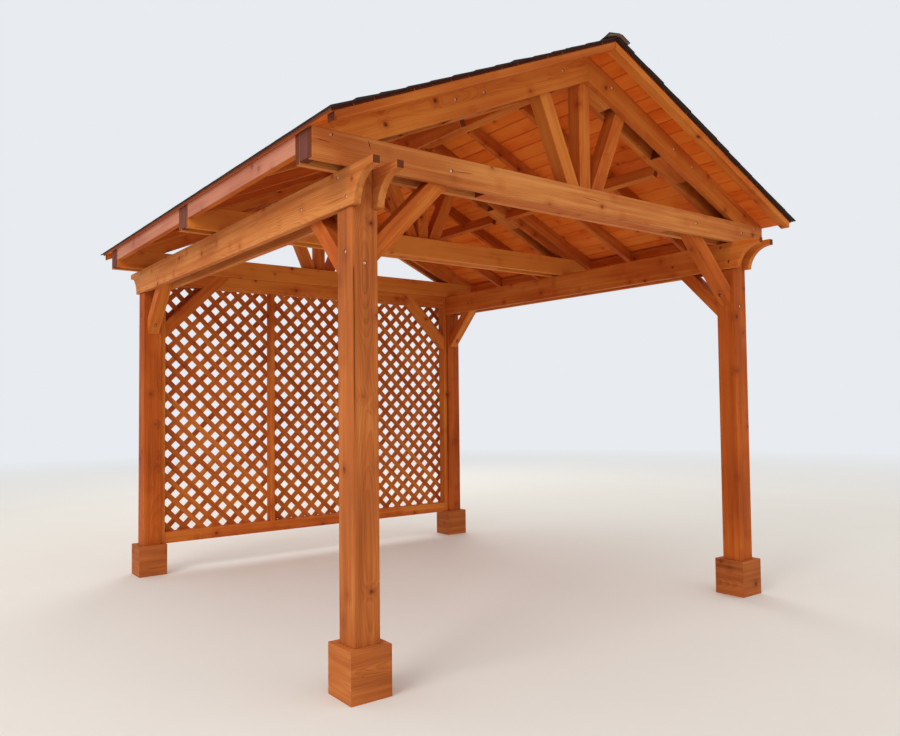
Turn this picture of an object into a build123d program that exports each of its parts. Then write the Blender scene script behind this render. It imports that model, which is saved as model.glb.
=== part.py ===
from build123d import *
from math import cos, radians, sin, sqrt, tan
import os

# Garden gazebo: four posts, two doubled eave beams, three doubled-board
# trusses with core pieces, a boarded and shingled gable roof, knee braces
# and a lattice wall between the two back posts.
# Millimetres. Origin on the ground at the centre of the four posts,
# +X to the right along the front gable, +Y to the back, +Z up.

os.makedirs("parts", exist_ok=True)

# Plan and heights
SPAN = 3048.0
LENGTH = 3350.0
BEAM_BOTTOM = 2270.0
PITCH = 23.8

# Timber sections
POST = 140.0
BOARD = 38.0
CORE = 89.0
BEAM_DEPTH = 184.0
TIE_DEPTH = 145.0
CHORD_DEPTH = 140.0
LUMBER = 89.0

# Trim around the foot of each post
BASE_HEIGHT = 240.0
BASE_BOARD = 38.0

# Tails and the cove cut in the ends of the eave beams
TAIL = 280.0
COVE_FLAT = 38.0
COVE_LIP = 7.0
COVE_WIDTH = 168.0

# Core pieces inside the doubled boards
CORE_CLEAR = 131.0
END_BLOCK = 44.0
END_BLOCK_RAISE = 8.0
SPACER_FROM = 770.0
SPACER_TO = 1035.0
APEX_BLOCK = 189.0
STRUT_FOOT = 48.0

# Roof
NOSE = 2.0
PURLIN_AT = 826.0
FASCIA_DEPTH = 92.0
BARGE_FACE = 295.0
BARGE_WIDTH = 64.0
DECK = 16.0
DECK_PAST_EAVE = 12.0
DECK_PAST_GABLE = 302.0
SHINGLE = 8.0
SHINGLE_PAST_EAVE = 24.0
SHINGLE_PAST_GABLE = 312.0
CAP = 8.0
CAP_WING = 100.0
CAP_PAST_GABLE = 335.0

# Knee braces: drop of the upper edge on the post below the piece it props
BEAM_BRACE_DROP = 210.0
TIE_BRACE_DROP = 312.0
BACK_BRACE_DROP = 415.0
BRACE_END_INSET = 30.0

# Lattice wall
LATH = 42.0
LATH_THICK = 8.0
LATH_PITCH = 95.0
LATTICE_LAP = 19.0
RAIL_BOTTOM = 235.0
BOTTOM_RAIL = 89.0
TOP_RAIL = 110.0
LEFT_SHIFT = (-9.0, -44.0)
MIDDLE_SHIFT = (10.0, -35.0)
RIGHT_SHIFT = (4.0, 5.0)
MITRE_GAP = 0.4

# Sizes that follow from those above
SLOPE = tan(radians(PITCH))
SIN = sin(radians(PITCH))
COS = cos(radians(PITCH))
POST_X = SPAN / 2
POST_Y = LENGTH / 2
HALF_CORE = CORE / 2
SANDWICH = HALF_CORE + BOARD
TIE_BOTTOM = BEAM_BOTTOM + BEAM_DEPTH
TIE_TOP = TIE_BOTTOM + TIE_DEPTH
EAVE_X = POST_X + TAIL
PEAK = TIE_TOP + NOSE + SLOPE * EAVE_X
TRUSS_Y = (-POST_Y, 0.0, POST_Y)


def block(x0, x1, y0, y1, z0, z1):
    """Box between two corners."""
    size = (abs(x1 - x0), abs(y1 - y0), abs(z1 - z0))
    middle = ((x0 + x1) / 2, (y0 + y1) / 2, (z0 + z1) / 2)
    return Pos(*middle) * Box(*size)


def slab_xz(points, y0, y1):
    """Piece with the given outline in X and Z, from y0 to y1."""
    plane = Plane(origin=(0, y0, 0), x_dir=(1, 0, 0), z_dir=(0, -1, 0))
    face = make_face(Polyline(*points, close=True).edges())
    return extrude(plane * face, amount=y1 - y0, dir=(0, 1, 0))


def slab_yz(points, x0, x1):
    """Piece with the given outline in Y and Z, from x0 to x1."""
    plane = Plane(origin=(x0, 0, 0), x_dir=(0, 1, 0), z_dir=(1, 0, 0))
    face = make_face(Polyline(*points, close=True).edges())
    return extrude(plane * face, amount=x1 - x0, dir=(1, 0, 0))


def roof_point(side, along, depth):
    """Point at a distance down the slope and a depth below the roof deck."""
    x = along * COS - depth * SIN
    z = PEAK - along * SIN - depth * COS
    return (side * x, z)


def roof_z(x, depth=0.0):
    """Height at x of the plane that lies depth below the deck's underside."""
    return PEAK - SLOPE * abs(x) - depth / COS


def mirrored(solids, plane):
    """The solids and their mirror images."""
    return list(solids) + [solid.mirror(plane) for solid in solids]


def save(name, solids):
    """Write one node; its solids don't touch each other."""
    export_step(Compound(children=list(solids)), f"parts/{name}.step")


# Posts: full below the beams, then a tongue between the doubled boards
def post(x, y):
    shaft = block(x - POST / 2, x + POST / 2, y - POST / 2, y + POST / 2, 0, BEAM_BOTTOM)
    tongue = block(
        x - HALF_CORE, x + HALF_CORE, y - POST / 2, y + POST / 2, BEAM_BOTTOM, TIE_BOTTOM
    )
    tip = block(
        x - HALF_CORE, x + HALF_CORE, y - HALF_CORE, y + HALF_CORE, TIE_BOTTOM, TIE_TOP
    )
    return shaft + tongue + tip


def post_base(x, y):
    outer = POST / 2 + BASE_BOARD
    inner = POST / 2
    trim = block(x - outer, x + outer, y - outer, y + outer, 0, BASE_HEIGHT)
    core = block(x - inner, x + inner, y - inner, y + inner, 0, BASE_HEIGHT)
    return trim - core


CORNERS = {
    "front_left": (-POST_X, -POST_Y),
    "front_right": (POST_X, -POST_Y),
    "back_left": (-POST_X, POST_Y),
    "back_right": (POST_X, POST_Y),
}
for corner, (px, py) in CORNERS.items():
    save(f"post_{corner}", [post(px, py)])
save("post_bases", [post_base(px, py) for px, py in CORNERS.values()])


# Eave beams: two boards each, with a cove cut in both ends
def beam_board(x0, x1):
    tip = POST_Y + TAIL
    cove_top = TIE_BOTTOM - COVE_FLAT
    cove_low = BEAM_BOTTOM + COVE_LIP
    cove_in = tip - COVE_WIDTH
    diagonal = sqrt(0.5)
    mid_y = tip - COVE_WIDTH * diagonal
    mid_z = cove_low + (cove_top - cove_low) * diagonal
    edges = [
        Polyline((-tip, cove_top), (-tip, TIE_BOTTOM), (tip, TIE_BOTTOM), (tip, cove_top)),
        ThreePointArc((tip, cove_top), (mid_y, mid_z), (cove_in, cove_low)),
        Polyline(
            (cove_in, cove_low), (cove_in, BEAM_BOTTOM), (-cove_in, BEAM_BOTTOM), (-cove_in, cove_low)
        ),
        ThreePointArc((-cove_in, cove_low), (-mid_y, mid_z), (-tip, cove_top)),
    ]
    plane = Plane(origin=(x0, 0, 0), x_dir=(0, 1, 0), z_dir=(1, 0, 0))
    face = make_face([edge for part in edges for edge in part.edges()])
    return extrude(plane * face, amount=x1 - x0, dir=(1, 0, 0))


for name, sign in (("left", -1), ("right", 1)):
    outer = beam_board(sign * POST_X + HALF_CORE, sign * POST_X + SANDWICH)
    inner = beam_board(sign * POST_X - SANDWICH, sign * POST_X - HALF_CORE)
    save(f"eave_beam_{name}", [outer, inner])


# Knee braces at 45 degrees; their tops run up between the doubled boards
brace_cut = LUMBER * sqrt(2)
inside = POST_X - POST / 2
stile_inside = inside - BOARD


def brace_outline(face, drop, prop_bottom, top):
    """Outline against an upright face at +face, leaning towards zero."""
    upper = prop_bottom - drop
    lower = upper - brace_cut
    return [
        (face, upper),
        (face, lower),
        (face - (top - lower), top),
        (face - (top - upper), top),
    ]


beam_brace = brace_outline(
    POST_Y - POST / 2, BEAM_BRACE_DROP, BEAM_BOTTOM, TIE_BOTTOM - BRACE_END_INSET
)
corner_brace = slab_yz(beam_brace, POST_X - HALF_CORE, POST_X + HALF_CORE)
save("beam_braces", mirrored(mirrored([corner_brace], Plane.XZ), Plane.YZ))

# The back ones stand against the stiles of the lattice wall
brace_top = TIE_TOP - BRACE_END_INSET
front_brace = brace_outline(inside, TIE_BRACE_DROP, TIE_BOTTOM, brace_top)
back_brace = brace_outline(stile_inside, BACK_BRACE_DROP, TIE_BOTTOM, brace_top)
tie_braces = [
    slab_xz(front_brace, -POST_Y - HALF_CORE, -POST_Y + HALF_CORE),
    slab_xz(back_brace, POST_Y - HALF_CORE, POST_Y + HALF_CORE),
]
save("tie_braces", mirrored(tie_braces, Plane.YZ))


# Trusses: doubled ties and chords, with king post, struts and core pieces between
def doubled(points, y):
    """The pair of boards with the given outline, either side of the core."""
    return [
        slab_xz(points, y - SANDWICH, y - HALF_CORE),
        slab_xz(points, y + HALF_CORE, y + SANDWICH),
    ]


def cored(points, y):
    """The core piece with the given outline."""
    return slab_xz(points, y - HALF_CORE, y + HALF_CORE)


def rectangle(x0, x1, z0, z1):
    return [(x0, z0), (x1, z0), (x1, z1), (x0, z1)]


heel_x = (PEAK - CHORD_DEPTH / COS - TIE_TOP) / SLOPE


def chord_outline(side):
    return [
        (0, PEAK),
        (side * EAVE_X, TIE_TOP + NOSE),
        (side * EAVE_X, TIE_TOP),
        (side * heel_x, TIE_TOP),
        (0, roof_z(0, CHORD_DEPTH)),
    ]


def strut_outline(side):
    """Stands on the tie core beside the king post, square to the chord."""
    foot_in = STRUT_FOOT
    foot_out = STRUT_FOOT + LUMBER / COS
    rise_in = (PEAK - SLOPE * foot_in - TIE_TOP) / (1 + SLOPE**2)
    rise_out = (PEAK - SLOPE * foot_out - TIE_TOP) / (1 + SLOPE**2)
    return [
        (side * foot_in, TIE_TOP),
        (side * foot_out, TIE_TOP),
        (side * (foot_out + SLOPE * rise_out), TIE_TOP + rise_out),
        (side * (foot_in + SLOPE * rise_in), TIE_TOP + rise_in),
    ]


def spacer_outline(side):
    """Fills the chord's depth, with ends square to the slope."""
    start = SPACER_FROM / COS
    end = SPACER_TO / COS
    corners = [(start, 0), (end, 0), (end, CHORD_DEPTH), (start, CHORD_DEPTH)]
    return [roof_point(side, along, depth) for along, depth in corners]


def apex_outline(side):
    near = HALF_CORE
    far = HALF_CORE + APEX_BLOCK
    return [
        (side * near, roof_z(near)),
        (side * far, roof_z(far)),
        (side * far, roof_z(far, CHORD_DEPTH)),
        (side * near, roof_z(near, CHORD_DEPTH)),
    ]


king_top = roof_z(HALF_CORE)
end_low = TIE_BOTTOM + END_BLOCK_RAISE
king_posts = []
struts = []
tie_cores = []
end_blocks = []
spacers = []
CORE_REACH = (front_brace[2][0], front_brace[2][0], back_brace[2][0])
for name, ty, reach in zip(("front", "middle", "back"), TRUSS_Y, CORE_REACH):
    save(f"{name}_tie", doubled(rectangle(-EAVE_X, EAVE_X, TIE_BOTTOM, TIE_TOP), ty))
    core_half = reach - CORE_CLEAR
    king_posts.append(cored(rectangle(-HALF_CORE, HALF_CORE, TIE_TOP, king_top), ty))
    tie_cores.append(cored(rectangle(-core_half, core_half, TIE_BOTTOM, TIE_TOP), ty))
    for side_name, side in (("left", -1), ("right", 1)):
        save(f"{name}_chord_{side_name}", doubled(chord_outline(side), ty))
        struts.append(cored(strut_outline(side), ty))
        spacers.append(cored(spacer_outline(side), ty))
        spacers.append(cored(apex_outline(side), ty))
        tail = rectangle(side * (EAVE_X - END_BLOCK), side * EAVE_X, end_low, TIE_TOP)
        end_blocks.append(cored(tail, ty))
save("king_posts", king_posts)
save("struts", struts)
save("tie_cores", tie_cores)
save("tie_end_blocks", end_blocks)
save("chord_spacers", spacers)

# Ridge beam, rafters, purlins and fascias, in the two bays between the trusses
bay_near = SANDWICH
bay_far = POST_Y - SANDWICH
ridge = block(-HALF_CORE, HALF_CORE, bay_near, bay_far, king_top - LUMBER, king_top)
save("ridge_beam", mirrored([ridge], Plane.XZ))

third = POST_Y / 3
for side_name, side in (("left", -1), ("right", 1)):
    far = EAVE_X - BOARD
    rafter = [
        (side * HALF_CORE, roof_z(HALF_CORE)),
        (side * far, roof_z(far)),
        (side * far, roof_z(far, LUMBER)),
        (side * HALF_CORE, roof_z(HALF_CORE, LUMBER)),
    ]
    places = (SANDWICH + BOARD / 2, third, 2 * third)
    bay = [slab_xz(rafter, ry - BOARD / 2, ry + BOARD / 2) for ry in places]
    save(f"rafters_{side_name}", mirrored(bay, Plane.XZ))

    along = PURLIN_AT / COS + LUMBER * SLOPE
    corners = [
        (along, LUMBER),
        (along + BOARD, LUMBER),
        (along + BOARD, 2 * LUMBER),
        (along, 2 * LUMBER),
    ]
    purlin = [roof_point(side, s, depth) for s, depth in corners]
    save(f"purlin_{side_name}", mirrored([slab_xz(purlin, bay_near, bay_far)], Plane.XZ))

    edge = roof_z(EAVE_X)
    board = rectangle(side * (EAVE_X - BOARD), side * EAVE_X, edge - FASCIA_DEPTH, edge)
    save(f"fascia_{side_name}", mirrored([slab_xz(board, bay_near, bay_far)], Plane.XZ))


# Roof skin: boards, shingles and ridge cap
def skin(side, past_eave, lift, thick, past_gable):
    """Sheet over one slope, lifted off the deck's underside."""
    eave = (EAVE_X + past_eave) / COS
    low = roof_point(side, eave, -lift)
    high = roof_point(side, eave, -lift - thick)
    outline = [(0, roof_z(0, -lift)), low, high, (0, roof_z(0, -lift - thick))]
    reach = POST_Y + past_gable
    return slab_xz(outline, -reach, reach)


for side_name, side in (("left", -1), ("right", 1)):
    deck = skin(side, DECK_PAST_EAVE, 0, DECK, DECK_PAST_GABLE)
    save(f"roof_deck_{side_name}", [deck])
    shingles = skin(side, SHINGLE_PAST_EAVE, DECK, SHINGLE, SHINGLE_PAST_GABLE)
    save(f"shingles_{side_name}", [shingles])

cap_low = DECK + SHINGLE
cap_high = cap_low + CAP
cap_outline = [
    (0, roof_z(0, -cap_low)),
    roof_point(1, CAP_WING, -cap_low),
    roof_point(1, CAP_WING, -cap_high),
    (0, roof_z(0, -cap_high)),
    roof_point(-1, CAP_WING, -cap_high),
    roof_point(-1, CAP_WING, -cap_low),
]
cap_reach = POST_Y + CAP_PAST_GABLE
save("ridge_cap", [slab_xz(cap_outline, -cap_reach, cap_reach)])


# Barge boards lie flat under the deck's ends
def barge(side, y0, y1):
    start = side * MITRE_GAP / 2
    outline = [
        (start, roof_z(start)),
        (side * EAVE_X, roof_z(EAVE_X)),
        (side * EAVE_X, roof_z(EAVE_X, BOARD)),
        (start, roof_z(start, BOARD)),
    ]
    return slab_xz(outline, y0, y1)


barge_out = POST_Y + BARGE_FACE
barge_in = barge_out - BARGE_WIDTH
save("barge_boards_front", [barge(side, -barge_out, -barge_in) for side in (-1, 1)])
save("barge_boards_back", [barge(side, barge_in, barge_out) for side in (-1, 1)])

# Lattice wall: a frame between the back posts, with the laths on its back
wall_front = POST_Y - HALF_CORE
wall_back = POST_Y + HALF_CORE
beam_inside = POST_X - SANDWICH
rail_top = RAIL_BOTTOM + BOTTOM_RAIL
panel_top = TIE_BOTTOM - TOP_RAIL


def wall_piece(outline):
    return slab_xz(outline, wall_front, wall_back)


bottom_rail = rectangle(-stile_inside, stile_inside, RAIL_BOTTOM, rail_top)
save("lattice_bottom_rail", [wall_piece(bottom_rail)])

# The top rail is cut where the braces pass
under = back_brace[1][0] + back_brace[1][1]
over = back_brace[0][0] + back_brace[0][1]
middle_rail = [
    (panel_top - under, panel_top),
    (under - panel_top, panel_top),
    (under - TIE_BOTTOM, TIE_BOTTOM),
    (TIE_BOTTOM - under, TIE_BOTTOM),
]
side_rail = [
    (over - panel_top, panel_top),
    (stile_inside, panel_top),
    (stile_inside, TIE_BOTTOM),
    (over - TIE_BOTTOM, TIE_BOTTOM),
]
side_rails = mirrored([wall_piece(side_rail)], Plane.YZ)
save("lattice_top_rail", [wall_piece(middle_rail)] + side_rails)

# Stiles on the foot trims, notched around the inner boards of the eave beams, and dividers
stile = [
    (stile_inside, BASE_HEIGHT),
    (inside, BASE_HEIGHT),
    (inside, BEAM_BOTTOM),
    (beam_inside, BEAM_BOTTOM),
    (beam_inside, TIE_BOTTOM),
    (stile_inside, TIE_BOTTOM),
]
divider_at = stile_inside / 3 + BOARD / 6
divider = rectangle(divider_at - BOARD / 2, divider_at + BOARD / 2, rail_top, panel_top)
uprights = [wall_piece(stile), wall_piece(divider)]
save("lattice_uprights", mirrored(uprights, Plane.YZ))


def laths(width, height, lean, shift):
    """One layer of parallel laths, clipped to the panel."""
    reach = width + height
    count = int(reach / LATH_PITCH / 2) + 1
    strips = Sketch()
    for index in range(-count, count + 1):
        strips += Pos(index * LATH_PITCH, 0) * Rectangle(LATH, 2 * reach)
    return (Pos(*shift) * Rot(0, 0, lean) * strips) & Rectangle(width, height)


def lattice(x0, x1, shift):
    """Two crossing layers of laths, joined where they cross."""
    low = rail_top - LATTICE_LAP
    high = panel_top + LATTICE_LAP
    width = x1 - x0
    height = high - low
    centre = ((x0 + x1) / 2, wall_back + LATH_THICK, (low + high) / 2)
    plane = Plane(origin=centre, x_dir=(1, 0, 0), z_dir=(0, -1, 0))
    near = extrude(plane * laths(width, height, 45, shift), amount=LATH_THICK, dir=(0, -1, 0))
    far = extrude(plane * laths(width, height, -45, shift), amount=LATH_THICK, dir=(0, 1, 0))
    joined = near + far
    return max(joined.solids(), key=lambda solid: solid.volume)


lattice_out = stile_inside + LATTICE_LAP
save("lattice_left", [lattice(-lattice_out, -divider_at, LEFT_SHIFT)])
save("lattice_middle", [lattice(-divider_at, divider_at, MIDDLE_SHIFT)])
save("lattice_right", [lattice(divider_at, lattice_out, RIGHT_SHIFT)])
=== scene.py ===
from collections import namedtuple
import math
import random

import bmesh
import bpy
from mathutils import Matrix, Vector


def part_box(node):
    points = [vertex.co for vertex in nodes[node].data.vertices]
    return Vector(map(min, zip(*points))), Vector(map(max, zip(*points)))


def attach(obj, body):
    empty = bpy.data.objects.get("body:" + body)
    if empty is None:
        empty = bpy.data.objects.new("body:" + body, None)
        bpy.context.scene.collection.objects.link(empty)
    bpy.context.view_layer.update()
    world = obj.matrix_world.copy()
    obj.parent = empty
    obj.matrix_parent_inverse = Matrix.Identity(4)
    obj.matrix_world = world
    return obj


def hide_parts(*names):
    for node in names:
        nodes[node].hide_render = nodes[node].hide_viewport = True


# Looks of the garden gazebo. Metres, +X right along the front gable,
# +Y to the back, +Z up, origin on the ground between the four posts.

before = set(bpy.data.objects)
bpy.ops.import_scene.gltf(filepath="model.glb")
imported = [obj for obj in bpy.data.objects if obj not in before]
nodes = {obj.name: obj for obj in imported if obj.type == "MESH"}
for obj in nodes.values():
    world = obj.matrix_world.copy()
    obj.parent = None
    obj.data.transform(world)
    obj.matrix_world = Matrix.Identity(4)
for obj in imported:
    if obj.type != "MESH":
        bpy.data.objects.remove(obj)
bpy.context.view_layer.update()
scene = bpy.context.scene

SIDES = ((-1, "left"), (1, "right"))
ENDS = ((-1, "front"), (1, "back"))

# Seeds of the random draws
TIMBER_SEED, TRIM_SEED, DECK_SEED, SHINGLE_SEED, CAP_SEED, LATH_SEED, HEAD_SEED = (
    11, 71, 81, 91, 97, 101, 120
)

# A Mix node's sockets for two colours and their mix
MIX_FIRST, MIX_SECOND, MIX_RESULT = 6, 7, 2


# Materials
def rgba(colour):
    return (*colour, 1.0)


def srgb(*levels):
    """Linear colour of an 8-bit sRGB one."""
    linear = []
    for level in levels:
        share = level / 255.0
        if share <= 0.04045:
            linear.append(share / 12.92)
        else:
            linear.append(((share + 0.055) / 1.055) ** 2.4)
    return tuple(linear)


def tones(*colours):
    """Pale, middle and dark tone of a wood, from 8-bit sRGB ones."""
    return tuple(srgb(*colour) for colour in colours)


def dimmed(colour, share):
    """A share of a colour's light."""
    return tuple(level * share for level in colour)


class Graph:
    """Short calls for building a shader tree."""

    def __init__(self, tree):
        self.tree = tree

    def add(self, kind, **values):
        node = self.tree.nodes.new(kind)
        for key, value in values.items():
            setattr(node, key, value)
        return node

    def link(self, source, socket):
        """Joins an output to a socket, or sets the socket to a number or tuple."""
        if isinstance(source, (int, float, tuple)):
            socket.default_value = source
        else:
            self.tree.links.new(source, socket)

    def math(self, operation, first, second=0.0):
        node = self.add("ShaderNodeMath", operation=operation)
        self.link(first, node.inputs[0])
        self.link(second, node.inputs[1])
        return node.outputs[0]

    def times(self, value, factor):
        return self.math("MULTIPLY", value, factor)

    def total(self, *terms):
        """Adds the terms up, from the first to the last."""
        so_far = terms[0]
        for term in terms[1:]:
            so_far = self.math("ADD", so_far, term)
        return so_far

    def stretch(self, vector, factors):
        """The vector with each coordinate times its own factor."""
        node = self.add("ShaderNodeVectorMath", operation="MULTIPLY")
        self.link(vector, node.inputs[0])
        self.link(factors, node.inputs[1])
        return node.outputs[0]

    def length(self, vector):
        node = self.add("ShaderNodeVectorMath", operation="LENGTH")
        self.link(vector, node.inputs[0])
        return node.outputs["Value"]

    def attribute(self, name, output):
        return self.add("ShaderNodeAttribute", attribute_name=name).outputs[output]

    def noise(self, vector, scale=1.0, detail=2.0, rough=0.5):
        node = self.add("ShaderNodeTexNoise")
        self.link(vector, node.inputs["Vector"])
        node.inputs["Scale"].default_value = scale
        node.inputs["Detail"].default_value = detail
        node.inputs["Roughness"].default_value = rough
        return node.outputs["Fac"]

    def cells(self, vector, scale):
        """Distance to a cell's point, and a Color for each cell."""
        node = self.add("ShaderNodeTexVoronoi", feature="F1")
        self.link(vector, node.inputs["Vector"])
        node.inputs["Scale"].default_value = scale
        return node.outputs

    def range(self, value, low, high, at_low=0.0, at_high=1.0):
        """Maps low to at_low and high to at_high, and stays level beyond them."""
        node = self.add("ShaderNodeMapRange", clamp=True)
        for item, socket in zip((value, low, high, at_low, at_high), node.inputs):
            self.link(item, socket)
        return node.outputs[0]

    def mix(self, share, first, second):
        """Colour between two others."""
        node = self.add("ShaderNodeMix", data_type="RGBA", clamp_factor=True)
        self.link(share, node.inputs[0])
        self.link(first, node.inputs[MIX_FIRST])
        self.link(second, node.inputs[MIX_SECOND])
        return node.outputs[MIX_RESULT]

    def ramp(self, value, stops):
        node = self.add("ShaderNodeValToRGB")
        elements = node.color_ramp.elements
        while len(elements) < len(stops):
            elements.new(0.5)
        for element, (position, colour) in zip(elements, stops):
            element.position = position
            element.color = rgba(colour)
        self.link(value, node.inputs[0])
        return node.outputs[0]

    def bump(self, height, strength, distance):
        node = self.add("ShaderNodeBump")
        node.inputs["Strength"].default_value = strength
        node.inputs["Distance"].default_value = distance
        self.link(height, node.inputs["Height"])
        return node.outputs[0]


def new_material(name):
    """A material, its shader and a graph to feed it."""
    material = bpy.data.materials.new(name)
    material.use_nodes = True
    tree = material.node_tree
    return material, tree.nodes["Principled BSDF"], Graph(tree)


# Most of a noise lies between these values
LOW_NOISE, HIGH_NOISE = 0.3, 0.7

# Patterns in the wood. A stretch has its factors along the board and both ways across it.
KNOT_CELLS = 6.6
KNOT_EDGE_CELLS = 70.0
KNOT_EDGE = 0.013
NEAR_KNOT = (0.055, 0.008)
KNOT_RIM = (0.022, 0.009)
KNOT_CORE = (0.0115, 0.0045)
RINGS = 185.0
LATE_WOOD = (0.35, 0.92)
LATE_WOOD_END = (1.0, 0.95)
WANDER_STRETCH, WANDER = (0.9, 3.0, 3.0), 0.11
KNOT_BEND = 0.009
FIBRE_STRETCH = (5.0, 420.0, 420.0)
STREAK_STRETCH = (1.1, 34.0, 34.0)
PATCH_STRETCH = (1.6, 5.0, 5.0)
SPLIT_STRETCH = (1.7, 26.0, 26.0)
SPLIT_LINE = (0.0045, 0.001)
SPLIT_WHERE_STRETCH = (1.9, 7.0, 7.0)
SPLIT_WHERE = (0.62, 0.68)

# What each pattern adds to the shade, which the wood's three tones follow
SHADE_STOPS = (0.02, 0.42, 0.95)
RING_SHADE = 0.13
STREAK_HIGH = 0.72
STREAK_SHADE, STREAK_SWING = 0.23, 0.15
FIBRE_SHADE = (-0.07, 0.10)
PATCH_SHADE = (-0.11, 0.17)
KNOT_SHADE = 0.16
TONE_SHADE = 0.6
END_CONTRAST = 0.7

# How strongly a mark covers the wood, and its share of the dark tone
RIM_MARK, CORE_MARK, SPLIT_MARK = (0.5, 0.55), (0.8, 0.45), (0.6, 0.3)

# The stain's gloss and relief: what the patterns add to the roughness and the height
WOOD_ROUGHNESS, RING_POLISH = (0.62, 0.74), -0.05
WOOD_SPECULAR = 0.1
FIBRE_RELIEF, RING_RELIEF, SPLIT_RELIEF = 0.5, 0.35, -2.6
WOOD_BUMP = (0.35, 0.0012)


def knots(g, place):
    """Rare round spots: how far a point is near a knot, on its rim and in its core."""
    gap = g.math("DIVIDE", g.cells(place, KNOT_CELLS)["Distance"], KNOT_CELLS)
    ragged = g.math("SUBTRACT", g.noise(place, KNOT_EDGE_CELLS), 0.5)
    gap = g.total(gap, g.times(ragged, KNOT_EDGE))
    return [g.range(gap, *limits) for limits in (NEAR_KNOT, KNOT_RIM, KNOT_CORE)]


def late_wood(g, place, near_knot):
    """Dark part of each ring, round a pith that wanders along the board."""
    wander = g.noise(g.stretch(place, WANDER_STRETCH), rough=0.45)
    wander = g.times(g.math("SUBTRACT", wander, 0.5), WANDER)
    radius = g.length(g.stretch(place, (0.0, 1.0, 1.0)))
    radius = g.total(radius, wander, g.times(near_knot, KNOT_BEND))
    ring = g.math("FRACT", g.times(radius, RINGS))
    return g.times(g.range(ring, *LATE_WOOD), g.range(ring, *LATE_WOOD_END))


def splits(g, place):
    """Short splits along the grain, here and there on the board."""
    level = g.noise(g.stretch(place, SPLIT_STRETCH), detail=1.0, rough=0.4)
    off = g.math("ABSOLUTE", g.math("SUBTRACT", level, 0.5))
    where = g.noise(g.stretch(place, SPLIT_WHERE_STRETCH), detail=1.0)
    return g.times(g.range(off, *SPLIT_LINE), g.range(where, *SPLIT_WHERE))


def stained_wood(name, colours, knot=1.0, end=0.0, worn=0.0, busy=1.0):
    """Sawn softwood under a translucent stain, with its grain along the board.

    knot and busy weigh the knots and the grain, end darkens sawn ends and worn
    lightens the edges.
    """
    material, shader, g = new_material(name)
    pale, middle, dark = colours
    place = g.attribute("grain", "Vector")
    near_knot, knot_rim, knot_core = knots(g, place)
    late = late_wood(g, place, near_knot)
    split = splits(g, place)
    fibre = g.noise(g.stretch(place, FIBRE_STRETCH), detail=3.0, rough=0.6)
    streak = g.noise(g.stretch(place, STREAK_STRETCH), detail=3.0, rough=0.55)
    patch = g.noise(g.stretch(place, PATCH_STRETCH))
    tone = g.math("SUBTRACT", g.attribute("tone", "Fac"), 0.5)

    swing = STREAK_SWING * busy
    fibre_shade = [shade * busy for shade in FIBRE_SHADE]
    shade = g.total(
        g.times(late, RING_SHADE * busy),
        g.range(streak, LOW_NOISE, STREAK_HIGH, STREAK_SHADE - swing, STREAK_SHADE + swing),
        g.range(fibre, LOW_NOISE, HIGH_NOISE, *fibre_shade),
        g.range(patch, LOW_NOISE, HIGH_NOISE, *PATCH_SHADE),
        g.times(near_knot, KNOT_SHADE),
        g.times(tone, TONE_SHADE),
    )
    if end:
        shade = g.total(g.times(shade, END_CONTRAST), end)
    if worn:
        shade = g.math("SUBTRACT", shade, worn)
    colour = g.ramp(shade, tuple(zip(SHADE_STOPS, (pale, middle, dark))))
    marks = ((knot_rim, knot, RIM_MARK), (knot_core, knot, CORE_MARK), (split, 1.0, SPLIT_MARK))
    for mask, amount, (cover, share) in marks:
        colour = g.mix(g.times(mask, cover * amount), colour, rgba(dimmed(dark, share)))
    g.link(colour, shader.inputs["Base Color"])

    rough = g.range(fibre, LOW_NOISE, HIGH_NOISE, *WOOD_ROUGHNESS)
    g.link(g.total(rough, g.times(late, RING_POLISH)), shader.inputs["Roughness"])
    shader.inputs["Specular IOR Level"].default_value = WOOD_SPECULAR
    height = g.total(
        g.times(fibre, FIBRE_RELIEF), g.times(late, RING_RELIEF), g.times(split, SPLIT_RELIEF)
    )
    g.link(g.bump(height, *WOOD_BUMP), shader.inputs["Normal"])
    return material


# Cells and noise in a metre of shingle, and what they add to its shade
GRANULES = 520.0
CLOUDS = 7.0
LUMPS = 160.0
SPECK_CONTRAST = 2.2
SPECK_SHADE, CLOUD_SHADE, TAB_SHADE = 0.55, 0.22, 0.34
GRIT_TONES = tones((17, 16, 18), (42, 39, 40), (88, 82, 78))
GRIT_STOPS = (0.0, 0.55, 1.0)
GRIT_ROUGHNESS, GRIT_SPECULAR = 0.92, 0.25
LUMP_RELIEF = 0.8
GRIT_BUMP = (0.6, 0.0015)
FELT_FIBRES = 60.0
FELT_PALE, FELT_DARK = srgb(158, 124, 98), srgb(104, 82, 66)
FELT_ROUGHNESS = 0.85


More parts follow.
